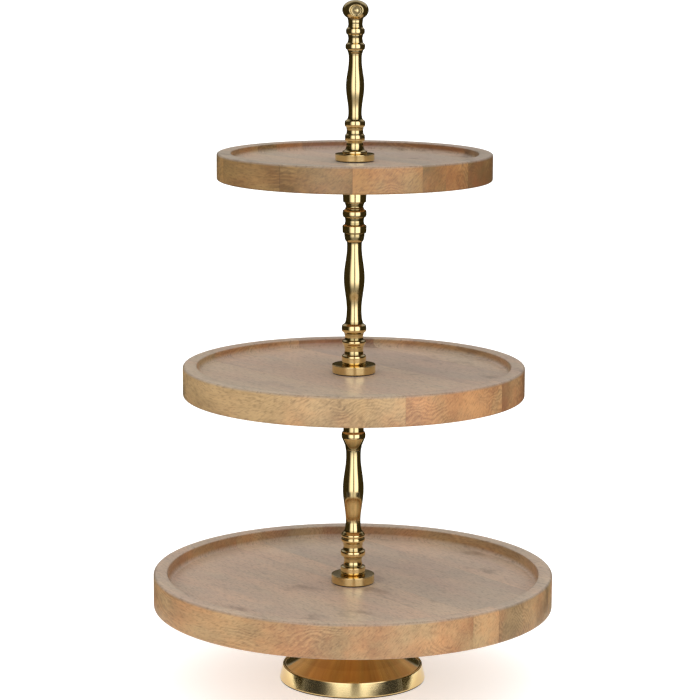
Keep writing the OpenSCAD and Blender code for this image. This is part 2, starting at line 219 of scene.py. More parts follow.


# Waxed mango wood, glued up from staves and turned. It gives the eye cloudy peach and olive patches
# drawn out along the grain, faint growth rings, short slanting pore flecks, a tone of its own on each
# stave, painted shade along the edges, a painted pale sheen on faces that look up and a soft sheen.
def waxed_mango_wood(name, s, plan):
    material, tree = new_material(name)
    place = add(tree, "ShaderNodeTexCoord").outputs["Object"]
    turned_back = (0, 0, -math.radians(plan["grain"]))
    board = add(tree, "ShaderNodeMapping", {"Vector": place, "Rotation": turned_back})
    axes = add(tree, "ShaderNodeSeparateXYZ", {"Vector": board})
    across, up = axes.outputs["Y"], axes.outputs["Z"]

    # Staves: red is the tone, green the warmth and blue the place in the log that a stave came from
    spot = add(
        tree, "ShaderNodeMapRange",
        {"Value": across, "From Min": -BOARD_REACH, "From Max": BOARD_REACH},
    )  # fmt: skip
    stops = [(0.5 + edge * MM / BOARD_REACH / 2, look) for edge, look in plan["staves"]]
    beside = add(tree, "ShaderNodeMath", {0: spot, 1: s.glue_line / BOARD_REACH / 2}, operation="ADD")
    stave = add(tree, "ShaderNodeValToRGB", {"Fac": spot}, stops)
    next_stave = add(tree, "ShaderNodeValToRGB", {"Fac": beside}, stops)
    for chart in (stave, next_stave):
        chart.color_ramp.interpolation = "CONSTANT"
    step = add(tree, "ShaderNodeVectorMath", {0: stave, 1: next_stave}, operation="DISTANCE")
    glue = add(
        tree, "ShaderNodeMath", {0: step.outputs["Value"], 1: 0.001}, operation="GREATER_THAN"
    )  # fmt: skip
    look = add(tree, "ShaderNodeSeparateColor", {"Color": stave})
    tone, warmth = look.outputs["Red"], look.outputs["Green"]
    log = add(
        tree, "ShaderNodeVectorMath", {0: stave, 1: (0, 0, 5.0), 2: board}, operation="MULTIPLY_ADD"
    )  # fmt: skip

    # Cloudiness: the length along the grain and width across it of each kind of patch, in millimetres
    patch = {}
    for kind, long, wide, detail, roughness in (
        ("cloud", 80, 38, 3.0, 0.5), ("tint", 95, 32, 3.0, 0.55), ("streak", 90, 8, 4.0, 0.6),
        ("fibre", 34, 1.6, 3.0, 0.65), ("wander", 110, 30, 3.0, 0.5), ("clear", 80, 45, 1.0, 0.5),
        ("smudge", 60, 36, 3.0, 0.6),
    ):  # fmt: skip
        size = (1 / (long * MM), 1 / (wide * MM), 1 / (wide * MM))
        apart = (0.7 * long, 0.3 * wide, 0.11 * long)
        drawn = add(tree, "ShaderNodeVectorMath", {0: log, 1: size, 2: apart}, operation="MULTIPLY_ADD")
        patch[kind] = add(
            tree, "ShaderNodeTexNoise",
            {"Vector": drawn, "Scale": 1.0, "Detail": detail, "Roughness": roughness},
        )  # fmt: skip
    # Pores and rays, in slanting plates. Real ones are 0.2 mm thick and are drawn thicker, so that
    # they show.
    leaning = add(tree, "ShaderNodeMapping", {"Vector": log, "Rotation": (math.radians(-50), 0, 0)})
    size = (1 / s.pore_length, 1 / s.pore_length, 1 / s.pore_width)
    drawn = add(tree, "ShaderNodeVectorMath", {0: leaning, 1: size}, operation="MULTIPLY")
    patch["pore"] = add(tree, "ShaderNodeTexNoise", {"Vector": drawn, "Scale": 1.0, "Detail": 3.0})
    for kind, start, full, most in (
        ("clear", 0.44, 0.60, 1.0), ("pore", 0.46, 0.72, 0.36), ("smudge", 0.60, 0.74, 0.36),
    ):  # fmt: skip
        patch[kind] = add(
            tree, "ShaderNodeMapRange",
            {"Value": patch[kind], "From Min": start, "From Max": full, "To Max": most},
            interpolation_type="SMOOTHSTEP",
        )  # fmt: skip

    # Growth rings round the heart of the log, wandering along the grain and clear only in places
    heart = add(
        tree, "ShaderNodeVectorMath", {0: board, 1: (0, 1, 1), 2: plan["heart"]},
        operation="MULTIPLY_ADD",
    )  # fmt: skip
    reach = add(tree, "ShaderNodeVectorMath", {0: heart}, operation="LENGTH").outputs["Value"]
    reach = add(tree, "ShaderNodeMath", {0: patch["wander"], 1: 0.045, 2: reach}, operation="MULTIPLY_ADD")
    turns = add(tree, "ShaderNodeMath", {0: reach, 1: 2 * math.pi / s.ring_spacing}, operation="MULTIPLY")
    rings = add(tree, "ShaderNodeMath", {0: turns}, operation="SINE")
    rings = add(tree, "ShaderNodeMath", {0: rings, 1: patch["clear"]}, operation="MULTIPLY")

    # Tone and warmth, each the stave's own with its clouds, streaks and rings added
    for share, value in (
        (0.75, patch["cloud"]), (0.20, patch["streak"]), (0.34, patch["fibre"]), (0.08, rings),
    ):  # fmt: skip
        tone = add(tree, "ShaderNodeMath", {0: value, 1: share, 2: tone}, operation="MULTIPLY_ADD")
    warmth = add(tree, "ShaderNodeMath", {0: patch["tint"], 1: 1.0, 2: warmth}, operation="MULTIPLY_ADD")
    blend = {}
    for kind, value, start, full in (("tone", tone, 0.86, 1.42), ("warmth", warmth, 0.78, 1.28)):
        blend[kind] = add(
            tree, "ShaderNodeMapRange", {"Value": value, "From Min": start, "From Max": full},
            interpolation_type="SMOOTHSTEP",
        )  # fmt: skip
    shade = add(
        tree, "ShaderNodeMix",
        {0: blend["warmth"], 6: (*s.olive_shade, 1), 7: (*s.brown_shade, 1)}, data_type="RGBA",
    )  # fmt: skip
    pale = add(
        tree, "ShaderNodeMix",
        {0: blend["warmth"], 6: (*s.olive_wood, 1), 7: (*s.peach_wood, 1)}, data_type="RGBA",
    )  # fmt: skip
    colour = add(tree, "ShaderNodeMix", {0: blend["tone"], 6: shade, 7: pale}, data_type="RGBA")
    colour = add(
        tree, "ShaderNodeVectorMath", {0: colour, 1: plan["depth"]}, operation="MULTIPLY"
    )  # fmt: skip

    # Painted sheen: a pale colour mixed into faces that look up, standing in for the bright backdrop
    # mirrored in them
    normal = add(tree, "ShaderNodeNewGeometry").outputs["Normal"]
    facing = add(tree, "ShaderNodeSeparateXYZ", {"Vector": normal})
    haze_and_sheen = add(tree, "ShaderNodeMapRange", {"Value": facing.outputs["Z"], "To Max": s.painted_sheen_share})
    colour = add(
        tree, "ShaderNodeMix", {0: haze_and_sheen, 6: colour, 7: (*s.wax, 1)}, data_type="RGBA"
    )  # fmt: skip

    # Dark marks: pores, smudges and glue lines, and painted shade along the rims' rounded edges and in the
    # corner at the foot of each well's wall
    painted_edge_shade = add(tree, "ShaderNodeAttribute", attribute_name="edge").outputs["Fac"]
    painted_edge_shade = add(tree, "ShaderNodeMath", {0: painted_edge_shade, 1: patch["streak"]}, operation="MULTIPLY")
    seam = add(tree, "ShaderNodeMath", {0: glue, 1: 0.35}, operation="MULTIPLY")
    for mark in (patch["pore"], patch["smudge"], seam, painted_edge_shade):
        colour = add(
            tree, "ShaderNodeMix", {0: mark, 6: colour, 7: (*s.pores_and_edge_shade, 1)}, data_type="RGBA"
        )  # fmt: skip

    relief = add(tree, "ShaderNodeMath", {0: rings, 1: 0.12, 2: patch["fibre"]}, operation="MULTIPLY_ADD")
    relief = add(tree, "ShaderNodeMath", {0: relief, 1: patch["pore"]}, operation="SUBTRACT")
    bump = add(tree, "ShaderNodeBump", {"Strength": 0.5, "Distance": 0.12 * MM, "Height": relief})
    gloss = add(
        tree, "ShaderNodeMapRange",
        {"Value": patch["streak"], "From Min": 0.3, "From Max": 0.7,
         "To Min": s.wax_roughness + 0.06, "To Max": s.wax_roughness - 0.05},
    )  # fmt: skip
    shader = add(tree, "ShaderNodeBsdfPrincipled", {
        "Base Color": colour, "Roughness": gloss, "IOR": 1.5, "Normal": bump,
        "Coat Weight": 0.3, "Coat Roughness": 0.25, "Coat IOR": 1.5,
    })  # fmt: skip
    add(tree, "ShaderNodeOutputMaterial", {"Surface": shader})
    return material


# Turned yellow brass, buffed and lacquered. It gives the eye bright mirror bands with faint rings left
# by the lathe, a little handling haze, and an olive brown painted deep in the grooves as shade.
def polished_brass(name, s):
    material, tree = new_material(name)
    place = add(tree, "ShaderNodeTexCoord").outputs["Object"]
    axes = add(tree, "ShaderNodeSeparateXYZ", {"Vector": place})
    flat = add(tree, "ShaderNodeVectorMath", {0: place, 1: (1, 1, 0)}, operation="MULTIPLY")
    reach = add(tree, "ShaderNodeVectorMath", {0: flat}, operation="LENGTH").outputs["Value"]
    travel = add(tree, "ShaderNodeMath", {0: reach, 1: axes.outputs["Z"]}, operation="ADD")
    cuts = add(tree, "ShaderNodeMath", {0: travel, 1: s.tool_pitch}, operation="DIVIDE")
    marks = add(
        tree, "ShaderNodeTexNoise", {"W": cuts, "Scale": 1.0, "Detail": 3.0}, noise_dimensions="1D"
    )  # fmt: skip
    haze_and_sheen = add(
        tree, "ShaderNodeTexNoise",
        {"Vector": place, "Scale": 1 / s.haze_patch, "Detail": 4.0, "Roughness": 0.6},
    )  # fmt: skip
    roughness = add(
        tree, "ShaderNodeMapRange",
        {"Value": haze_and_sheen, "From Min": 0.35, "From Max": 0.7, "To Min": s.polish, "To Max": s.polish + 0.06},
    )  # fmt: skip
    # Painted shade: grooves are mixed toward the darker olive colour by their depth, with handling haze
    # added on top
    hollow = add(tree, "ShaderNodeAttribute", attribute_name="hollow").outputs["Fac"]
    age_and_groove_shade = add(tree, "ShaderNodeMath", {0: haze_and_sheen, 1: 0.2, 2: hollow}, operation="MULTIPLY_ADD")
    age_and_groove_shade = add(tree, "ShaderNodeMath", {0: age_and_groove_shade, 1: 0.75}, operation="MULTIPLY", use_clamp=True)
    colour = add(
        tree, "ShaderNodeMix", {0: age_and_groove_shade, 6: (*s.brass, 1), 7: (*s.aged_and_shaded_brass, 1)}, data_type="RGBA"
    )  # fmt: skip
    bump = add(tree, "ShaderNodeBump", {"Strength": 0.25, "Distance": 0.02 * MM, "Height": marks})
    shader = add(tree, "ShaderNodeBsdfPrincipled", {
        "Base Color": colour, "Metallic": 1.0, "Roughness": roughness, "Normal": bump,
    })  # fmt: skip
    add(tree, "ShaderNodeOutputMaterial", {"Surface": shader})
    return material


# Zinc-plated steel from a screw machine. It gives the eye a cool grey with a duller, cloudy shine.
def zinc_plated_steel(name, s):
    material, tree = new_material(name)
    place = add(tree, "ShaderNodeTexCoord").outputs["Object"]
    cloud = add(tree, "ShaderNodeTexNoise", {"Vector": place, "Scale": 1 / s.plating_patch, "Detail": 4.0})
    colour = add(tree, "ShaderNodeValToRGB", {"Fac": cloud}, [(0.3, s.steel_shade), (0.7, s.steel)])
    roughness = add(
        tree, "ShaderNodeMapRange",
        {"Value": cloud, "From Min": 0.3, "From Max": 0.7, "To Min": 0.42, "To Max": 0.26},
    )  # fmt: skip
    bump = add(tree, "ShaderNodeBump", {"Strength": 0.3, "Distance": 0.03 * MM, "Height": cloud})
    shader = add(tree, "ShaderNodeBsdfPrincipled", {
        "Base Color": colour, "Metallic": 1.0, "Roughness": roughness, "Normal": bump,
    })  # fmt: skip
    add(tree, "ShaderNodeOutputMaterial", {"Surface": shader})
    return material


# Pressed wool felt, cut from sheet. It gives the eye a matt, slightly mottled dark brown with fine
# fibres. Real fibres are 0.03 mm thick, and these are drawn coarser so that they show.
def pressed_felt(name, s):
    material, tree = new_material(name)
    place = add(tree, "ShaderNodeTexCoord").outputs["Object"]
    fibres = add(
        tree, "ShaderNodeTexNoise",
        {"Vector": place, "Scale": 1 / s.felt_fibre, "Detail": 5.0, "Roughness": 0.75, "Distortion": 1.2},
    )  # fmt: skip
    colour = add(tree, "ShaderNodeValToRGB", {"Fac": fibres}, [(0.35, s.felt_shade), (0.65, s.felt)])
    bump = add(tree, "ShaderNodeBump", {"Strength": 0.7, "Distance": 0.2 * MM, "Height": fibres})
    shader = add(tree, "ShaderNodeBsdfPrincipled", {
        "Base Color": colour, "Roughness": 0.95, "Normal": bump,
        "Sheen Weight": 0.25, "Sheen Roughness": 0.5,
    })  # fmt: skip
    add(tree, "ShaderNodeOutputMaterial", {"Surface": shader})
    return material


# Matt studio card, lit from below as well. It gives the eye a plain pale ground with a faint shadow.
def studio_card(name, s):
    material, tree = new_material(name)
    place = add(tree, "ShaderNodeTexCoord").outputs["Object"]
    tooth = add(tree, "ShaderNodeTexNoise", {"Vector": place, "Scale": 3.0, "Detail": 3.0})
    shaded = [0.985 * c for c in s.floor_colour]
    colour = add(tree, "ShaderNodeValToRGB", {"Fac": tooth}, [(0.2, shaded), (0.8, s.floor_colour)])
    shader = add(tree, "ShaderNodeBsdfPrincipled", {
        "Base Color": colour, "Roughness": 0.9, "Specular IOR Level": 0.1,
        "Emission Color": colour, "Emission Strength": s.floor_glow,
    })  # fmt: skip
    add(tree, "ShaderNodeOutputMaterial", {"Surface": shader})
    return material


# Card with its own light on it. It gives the foot's band its soft bright and dark stretches.
def glowing_card(name):
    material, tree = new_material(name)
    glow = add(tree, "ShaderNodeAttribute", attribute_name="glow").outputs["Fac"]
    shader = add(tree, "ShaderNodeEmission", {"Color": (1.0, 1.0, 1.06, 1), "Strength": glow})
    add(tree, "ShaderNodeOutputMaterial", {"Surface": shader})
    return material


# Turned outlines


def curve_through(stations, height=0.0, steps=14):
    """Points in metres through stations of radius, height and kind of curve, raised by height."""
    points = [(stations[0][0] * MM, stations[0][1] * MM + height)]
    for (r0, z0, _), (r1, z1, kind) in zip(stations, stations[1:]):
        count = 1 if kind == "line" else steps * (3 if z1 - z0 > 20 else 1)
        for k in range(1, count + 1):
            t = k / count
            a, b = {
                "land": (math.sin(math.pi / 2 * t), 1 - math.cos(math.pi / 2 * t)),
                "launch": (1 - math.cos(math.pi / 2 * t), math.sin(math.pi / 2 * t)),
                "ease": ((1 - math.cos(math.pi * t)) / 2, t),
                "line": (t, t),
            }[kind]
            points.append(((r0 + (r1 - r0) * a) * MM, (z0 + (z1 - z0) * b) * MM + height))
    return points


def softened(points, size, closed=True, sharpest=18.0):
    """
    Rounds each corner of an outline by size. A point before and after the round keeps the faces
    beside it flat.
    """
    result, count = [], len(points)
    for i, here in enumerate(points):
        before, after = points[i - 1], points[(i + 1) % count]
        here_v, a, b = Vector(here), Vector(before) - Vector(here), Vector(after) - Vector(here)
        on_axis = here[0] < TINY
        if on_axis or (not closed and i in (0, count - 1)) or min(a.length, b.length) < 0.01 * TINY:
            result.append(here)
            continue
        turn = math.degrees((-a).angle(b))
        if turn < sharpest:
            result.append(here)
            continue
        cut = min(size * math.tan(math.radians(min(turn, 150)) / 2), 0.42 * a.length, 0.42 * b.length)
        start, end = here_v + a.normalized() * cut, here_v + b.normalized() * cut
        keep = 0.35 * cut
        if a.length > 3 * cut:
            result.append(tuple(start + a.normalized() * keep))
        for k in range(5):
            t = k / 4
            result.append(tuple(start * (1 - t) ** 2 + here_v * 2 * t * (1 - t) + end * t * t))
        if b.length > 3 * cut:
            result.append(tuple(end + b.normalized() * keep))
    return result


def turned(name, outline, sides, closed):
    """
    A turned mesh. The outline runs up the outside. It is a loop round a bore if closed, and
    otherwise starts and ends on the axis.
    """
    mesh = bmesh.new()
    # The hollow attribute holds how deep each ring sits in a groove; the brass paints shade by it
    depth = mesh.verts.layers.float.new("hollow")
    rings = []
    around = [2 * math.pi * k / sides for k in range(sides)]
    for i, (r, z) in enumerate(outline):
        if r < TINY:
            ring = [mesh.verts.new((0, 0, z))]
        else:
            ring = [mesh.verts.new((r * math.cos(a), r * math.sin(a), z)) for a in around]
        # How deep the outline lies inside the points a groove's width below and above it
        lower = (p for p in outline[:i] if z - p[1] > GROOVE_W)
        upper = (p for p in outline[i + 1 :] if p[1] - z > GROOVE_W)
        before = max(lower, key=lambda p: p[1], default=None)
        after = min(upper, key=lambda p: p[1], default=None)
        sunk = 0.0
        if before and after and r > TINY:
            sunk = ((before[0] + after[0]) / 2 - r) / GROOVE_D
        for v in ring:
            v[depth] = min(max(sunk, 0.0), 1.0)
        rings.append(ring)
    pairs = list(zip(rings, rings[1:])) + ([(rings[-1], rings[0])] if closed else [])
    for low_ring, high_ring in pairs:
        if len(low_ring) == 1 and len(high_ring) == 1:
            continue
        for k in range(sides):
            n = (k + 1) % sides
            if len(low_ring) == 1:
                mesh.faces.new((low_ring[0], high_ring[n], high_ring[k]))
            elif len(high_ring) == 1:
                mesh.faces.new((low_ring[k], low_ring[n], high_ring[0]))
            else:
                mesh.faces.new((low_ring[k], low_ring[n], high_ring[n], high_ring[k]))
    return finished(name, mesh)


def finished(name, mesh):
    """Makes a smooth-shaded object from a bmesh and puts it in the scene."""
    bmesh.ops.recalc_face_normals(mesh, faces=mesh.faces)
    data = bpy.data.meshes.new(name)
    mesh.to_mesh(data)
    mesh.free()
    data.shade_smooth()
    piece = bpy.data.objects.new(name, data)
    bpy.context.scene.collection.objects.link(piece)
    return piece


def settle(piece, node, material):
    """Gives a piece its material, puts it on its node's body and lets it stand for the node."""
    piece.data.materials.clear()
    piece.data.materials.append(material)
    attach(piece, frame["nodes"][node]["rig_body"])
    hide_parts(node)
    return piece


def once(name, make, *args):
    """The material of that name, made the first time it is asked for."""
    return bpy.data.materials.get(name) or make(name, *args)


# Settings


def length(name, text, size):
    return bpy.props.FloatProperty(name=name, description=text, default=size, unit="LENGTH", precision=5)


def angle(name, text, degrees):
    return bpy.props.FloatProperty(
        name=name, description=text, default=math.radians(degrees), subtype="ANGLE"
    )


def tint(name, text, code):
    return bpy.props.FloatVectorProperty(
        name=name, description=text, default=paint(code), subtype="COLOR", size=3, min=0.0, max=1.0
    )


class StandShape(bpy.types.PropertyGroup):
    """Roundings and counts of the turned pieces"""

    rim_width: length("Rim width", "Width of a tray's rim, across its flat top", 13.5 * MM)
    rim_round: length("Rim rounding", "Rounding of a rim's edges", 2.0 * MM)
    well_cove: length("Well cove", "Rounding where a well's wall meets its floor", 4.0 * MM)
    foot_band: length("Foot band", "Height of the foot's outer band", 14 * MM)
    band_lean: length("Band lean", "How much narrower the band is at its top, on each side", 2.8 * MM)
    foot_wall: length("Foot wall", "Wall of the foot", 3 * MM)
    foot_hub: length("Foot hub", "Diameter of the foot's hub, under the tray", 46 * MM)
    recess_width: length("Recess width", "Diameter of the round recess in the ball", 9 * MM)
    recess_depth: length("Recess depth", "Depth of the round recess in the ball", 3 * MM)
    ball_cut: length("Ball foot", "Height that is cut off the ball to seat it", 1.6 * MM)
    brass_edge: length("Brass edge", "Rounding that buffing leaves on a brass corner", 0.3 * MM)
    thread_pitch: length("Thread pitch", "Pitch of the studs' thread", 1.25 * MM)
    ball_turn: angle("Ball turn", "How far the ball is turned on its stud", 4)
    sides: bpy.props.IntProperty(
        name="Sides", description="Faces round a stem", default=96, min=24, max=256
    )


class StandFinish(bpy.types.PropertyGroup):
    """Colours and surface sizes of the wood, brass, steel and felt"""

    peach_wood: tint("Peach wood", "Pale wood with a warm cast", "#C9935F")
    olive_wood: tint("Olive wood", "Pale wood with a green cast", "#BB9A6C")
    brown_shade: tint("Brown shade", "Darker clouds with a warm cast", "#95623E")
    olive_shade: tint("Olive shade", "Darker clouds with a green cast", "#816743")
    # This colour is also the painted shade along the rims' edges and in the well corners
    pores_and_edge_shade: tint("Pores", "Pores, smudges, glue lines and waxed edges", "#4A3521")
    # Painted sheen: the pale colour and its share that stand in for the backdrop's reflection on faces that
    # look up
    wax: tint("Wax", "Haze of wax on faces that look up", "#EFE4D4")
    painted_sheen_share: bpy.props.FloatProperty(
        name="Wax haze", description="How much of the wood the haze covers", default=0.44, min=0.0, max=1.0
    )
    glue_line: length("Glue line", "Width of the line between two staves", 0.35 * MM)
    ring_spacing: length("Ring spacing", "Distance between growth rings", 4.5 * MM)
    pore_length: length("Pore length", "Length of a pore along the grain", 5 * MM)
    pore_width: length("Pore width", "Width of a pore, drawn coarser than it is", 0.9 * MM)
    wax_roughness: bpy.props.FloatProperty(
        name="Wax roughness", description="Roughness of the wood's finish", default=0.40, min=0.0, max=1.0
    )
    brass: tint("Brass", "Clean polished brass", "#EED497")
    # This colour is also painted into the grooves by their depth, as shade
    aged_and_shaded_brass: tint("Aged brass", "Brass in grooves and handled places", "#7F7346")
    polish: bpy.props.FloatProperty(
        name="Polish", description="Roughness of freshly buffed brass", default=0.08, min=0.0, max=1.0
    )
    tool_pitch: length("Tool mark pitch", "Distance between the lathe's faint rings", 0.6 * MM)
    haze_patch: length("Haze patch", "Size of the hazy patches that handling leaves", 18 * MM)
    steel: tint("Steel", "Zinc plating in the light", "#C9CBCB")
    steel_shade: tint("Steel shade", "Duller patches of the plating", "#9C9E9F")
    plating_patch: length("Plating patch", "Size of the duller patches of the plating", 7 * MM)
    felt: tint("Felt", "Felt fibres in the light", "#3A3029")
    felt_shade: tint("Felt shade", "Gaps between felt fibres", "#1E1915")
    felt_fibre: length("Felt fibre", "Size of a tuft of fibres", 0.7 * MM)


class StandStage(bpy.types.PropertyGroup):
    """Camera, light and floor"""

    eye: bpy.props.FloatVectorProperty(
        name="Camera place", description="Where the camera stands",
        default=(-0.0037, -2.425, 0.745), subtype="XYZ", unit="LENGTH",
    )  # fmt: skip
    tilt: angle("Camera tilt", "How far the camera looks down", 9.93)
    roll: angle("Camera roll", "How far the camera leans to its left", 0.253)
    lens: bpy.props.FloatProperty(
        name="Lens", description="Focal length in millimetres", default=134.13
    )
    softbox: bpy.props.FloatProperty(
        name="Softboxes", description="Brightness of the two softboxes in a reflection", default=1.7
    )
    backdrop: bpy.props.FloatProperty(
        name="Backdrop", description="Brightness of the paper behind in a reflection", default=0.4
    )
    fill: bpy.props.FloatProperty(
        name="Fill", description="Brightness of the light from all round", default=0.97
    )
    floor_glow: bpy.props.FloatProperty(
        name="Floor glow", description="Brightness of the light under the floor", default=0.45
    )
    floor_colour: tint("Floor colour", "Colour of the card the stand is on", "#FCFCFB")


# Operators, one for each group of like pieces


class STAND_OT_trays(bpy.types.Operator):
    """Turns the three wooden trays"""

    bl_idname = "serving_stand.trays"
    bl_label = "Trays"

    def execute(self, context):
        shape, finish = context.scene.stand_shape, context.scene.stand_finish
        for place, plan in BOARDS.items():
            node = "tray_" + place
            r, z0, z1 = radius(node), low(node).z, high(node).z
            floor = low("pad_" + place).z
            inner, soft = r - shape.rim_width, shape.rim_round
            outline = [(PASS_R, z0), (r - 0.8 * soft, z0)]
            outline += arc((r - 0.8 * soft, z0 + 0.8 * soft), 0.8 * soft, -90, 0)
            outline += arc((r - soft, z1 - soft), soft, 0, 90)
            outline += arc((inner + 0.6 * soft, z1 - 0.6 * soft), 0.6 * soft, 90, 180)
            outline += arc((inner - shape.well_cove, floor + shape.well_cove), shape.well_cove, 0, -90)
            outline += [(0.5 * inner, floor), (PASS_R, floor)]
            piece = turned("Tray_" + place, held(outline), 2 * shape.sides, True)
            # Painted shade: the edge attribute darkens the rims' rounded edges and the corner at the foot
            # of each well's wall, by how near a point lies to each
            corners = ((r, z1, 1.0), (r, z0, 0.5), (inner, z1, 0.35), (inner, floor, 0.45))
            edge = piece.data.attributes.new("edge", "FLOAT", "POINT")
            for v in piece.data.vertices:
                q = math.hypot(v.co.x, v.co.y)
                edge.data[v.index].value = max(
                    strength * max(0.0, 1 - math.hypot(q - cr, v.co.z - cz) / (1.1 * soft)) ** 0.7
                    for cr, cz, strength in corners
                )
            wood = once("Waxed_mango_wood_" + place, waxed_mango_wood, finish, plan)
            settle(piece, node, wood)
        return {"FINISHED"}


class STAND_OT_stems(bpy.types.Operator):
    """Turns the three brass stems, each bored at both ends"""

    bl_idname = "serving_stand.stems"
    bl_label = "Stems"

    def execute(self, context):
        shape, finish = context.scene.stand_shape, context.scene.stand_finish
        brass = once("Polished_brass", polished_brass, finish)
        plans = (
            ("lower", LOWER_BASE, LOWER_HEAD, 10.0, "foot_stud", "stud_middle"),
            ("middle", MIDDLE_BASE, MIDDLE_HEAD, 9.85, "stud_middle", "stud_top"),
            ("upper", UPPER_BASE, UPPER_HEAD, 8.6, "stud_top", "finial_stud"),
        )
        for place, base, head, swell, below, above in plans:
            node = "stem_" + place
            z0, z1 = low(node).z, high(node).z
            tall = (z1 - z0) / MM
            rise = tall - head[-1][1]
            stations = base + [(swell, (base[-1][1] + rise) / 2, "ease")]
            stations += [(r, z + rise, kind) for r, z, kind in head]
            outside = curve_through(stations, z0)
            lower_end = high(below).z + 2 * MM
            upper_end = low(above).z
            upper_r = radius(above) + 0.05 * MM
            outline = [(0, lower_end), (BORE_R, lower_end), (BORE_R, z0)]
            outline += outside + [(upper_r, z1), (upper_r, upper_end), (0, upper_end)]
            piece = turned("Stem_" + place, softened(outline, shape.brass_edge, False), shape.sides, False)
            settle(piece, node, brass)
        return {"FINISHED"}


class STAND_OT_discs(bpy.types.Operator):
    """Turns the flanges and seat discs and cuts the felt pads between flange and tray"""

    bl_idname = "serving_stand.discs"
    bl_label = "Flanges, seats and pads"

    def execute(self, context):
        shape, finish = context.scene.stand_shape, context.scene.stand_finish
        brass = once("Polished_brass", polished_brass, finish)
        felt = once("Pressed_wool_felt", pressed_felt, finish)
        plans = [("flange_" + p, PASS_R, 0.6 * MM, "brass", brass) for p in ("bottom", "middle", "top")]
        plans += [("seat_" + p, BORE_R, 0.8 * MM, "brass", brass) for p in ("middle", "top")]
        plans += [("pad_" + p, PASS_R, 0.25 * MM, "felt", felt) for p in ("bottom", "middle", "top")]
        for node, bore, edge, slot, material in plans:
            r, z0, z1 = radius(node), low(node).z, high(node).z
            outline = [(bore, z0), (r, z0), (r, z1), (bore, z1)]
            piece = turned(node.capitalize(), softened(outline, edge), shape.sides, True)
            settle(piece, node, material)
        return {"FINISHED"}


class STAND_OT_foot(bpy.types.Operator):
    """Turns the hollow foot and cuts the felt ring under it"""

    bl_idname = "serving_stand.foot"
    bl_label = "Foot"

    def execute(self, context):
        shape, finish = context.scene.stand_shape, context.scene.stand_finish
        brass = once("Polished_brass", polished_brass, finish)
        felt = once("Pressed_wool_felt", pressed_felt, finish)
        r, z0, z1 = radius("foot"), low("foot").z, high("foot").z
        wall, hub_r = shape.foot_wall, shape.foot_hub / 2
        hub = high("foot_washer").z
        band = z0 + shape.foot_band
        lip = r - shape.band_lean
        edge, curl, fillet = 0.8 * MM, 1.1 * MM, 3.5 * MM  # of the hems, the lip and the neck
        lip_in = lip - 2 * curl
        neck = hub_r - fillet

        def trumpet(inset, a, b):
            """The hollow curve from the lip up to the neck."""
            points = []
            for k in range(73):
                t = k / 72
                share = math.exp(-2.1 * t) - math.exp(-2.1) * t
                points.append((neck + (lip_in - neck) * share - inset, a + (b - a) * t))
            return points

        outline = [(r - wall, z0), (r - edge, z0)]
        outline += arc((r - edge, z0 + edge), edge, -90, 0)
        outline += arc((lip - curl, band - curl), curl, 10, 170)
        outline += trumpet(0, band - curl, hub - 4 * MM)
        outline += [(hub_r, hub + 2 * MM), (hub_r, z1 - edge)]
        outline += arc((hub_r - edge, z1 - edge), edge, 0, 90)
        outline += [(BORE_R, z1), (BORE_R, hub), (neck - wall, hub)]
        outline += trumpet(0.6 * wall, band - 3.3 * MM, hub - 7.3 * MM)[::-1]
        outline += [(r - wall - 1.4 * MM, band - 5.3 * MM)]
        piece = turned("Foot", held(outline), 2 * shape.sides, True)
        settle(piece, "foot", brass)

        r, z0, z1 = radius("foot_felt"), low("foot_felt").z, high("foot_felt").z
        inner = radius("foot") - wall
        ring = [(inner, z0), (r, z0), (r, z1), (inner, z1)]
        piece = turned("Foot_felt", softened(ring, 0.25 * MM), 2 * shape.sides, True)
        settle(piece, "foot_felt", felt)
        return {"FINISHED"}


class STAND_OT_screws(bpy.types.Operator):
    """Cuts the threaded studs, the washer and the chamfered hexagon nut"""

    bl_idname = "serving_stand.screws"
    bl_label = "Studs, nut and washer"

    def execute(self, context):
        shape, finish = context.scene.stand_shape, context.scene.stand_finish
        steel = once("Zinc_plated_steel", zinc_plated_steel, finish)
        for node, pitch in (
            ("foot_stud", shape.thread_pitch), ("stud_middle", shape.thread_pitch),
            ("stud_top", shape.thread_pitch), ("finial_stud", 0.8 * MM),
        ):  # fmt: skip
            piece = threaded(node.capitalize(), radius(node), low(node).z, high(node).z, pitch)
            settle(piece, node, steel)
        lo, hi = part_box("foot_nut")
        flats = min(hi.x - lo.x, hi.y - lo.y)
        settle(hexagon("Foot_nut", flats, BORE_R, lo.z, hi.z), "foot_nut", steel)
        lo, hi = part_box("foot_washer")
        r = radius("foot_washer")
        outline = [(PASS_R, lo.z), (r, lo.z), (r, hi.z), (PASS_R, hi.z)]
        piece = turned("Foot_washer", softened(outline, 0.2 * MM), shape.sides, True)
        settle(piece, "foot_washer", steel)
        return {"FINISHED"}


